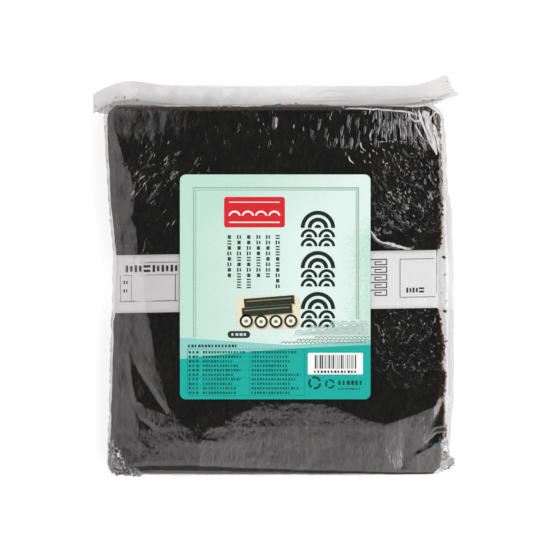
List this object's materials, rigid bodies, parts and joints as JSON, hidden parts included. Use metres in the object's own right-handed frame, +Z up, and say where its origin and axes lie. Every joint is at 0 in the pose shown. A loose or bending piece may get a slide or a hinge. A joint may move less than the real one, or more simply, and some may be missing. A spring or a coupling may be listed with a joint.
{
  "type": "pack of dried nori sheets",
  "caption": "Flat heat-sealed clear film bag with a stack of dried nori sheets tied by a paper band, a printed sticker on its face and a wide crimped seal along one end.",
  "frame": {"origin": "on the surface that the pack lies on, under the middle of its whole outline", "axes": "+Z up out of the face with the sticker, +Y towards the end with the crimped seal, +X to the right of the sticker as it is read"},
  "size_m": [0.2072, 0.2322, 0.0287],
  "materials": {
    "bag": "clear glossy cast film; as a solid it takes the black-green of the sheets that show through it",
    "sticker": "semi-gloss printed paper, pale mint with a teal foot",
    "nori": "dried laver, near black with brown rims, fibrous and slightly glossy",
    "paper": "matt white band paper with black line print"
  },
  "bodies": {
    "root": {"bag": "bag", "sticker": "sticker"}
  },
  "joints": []
}
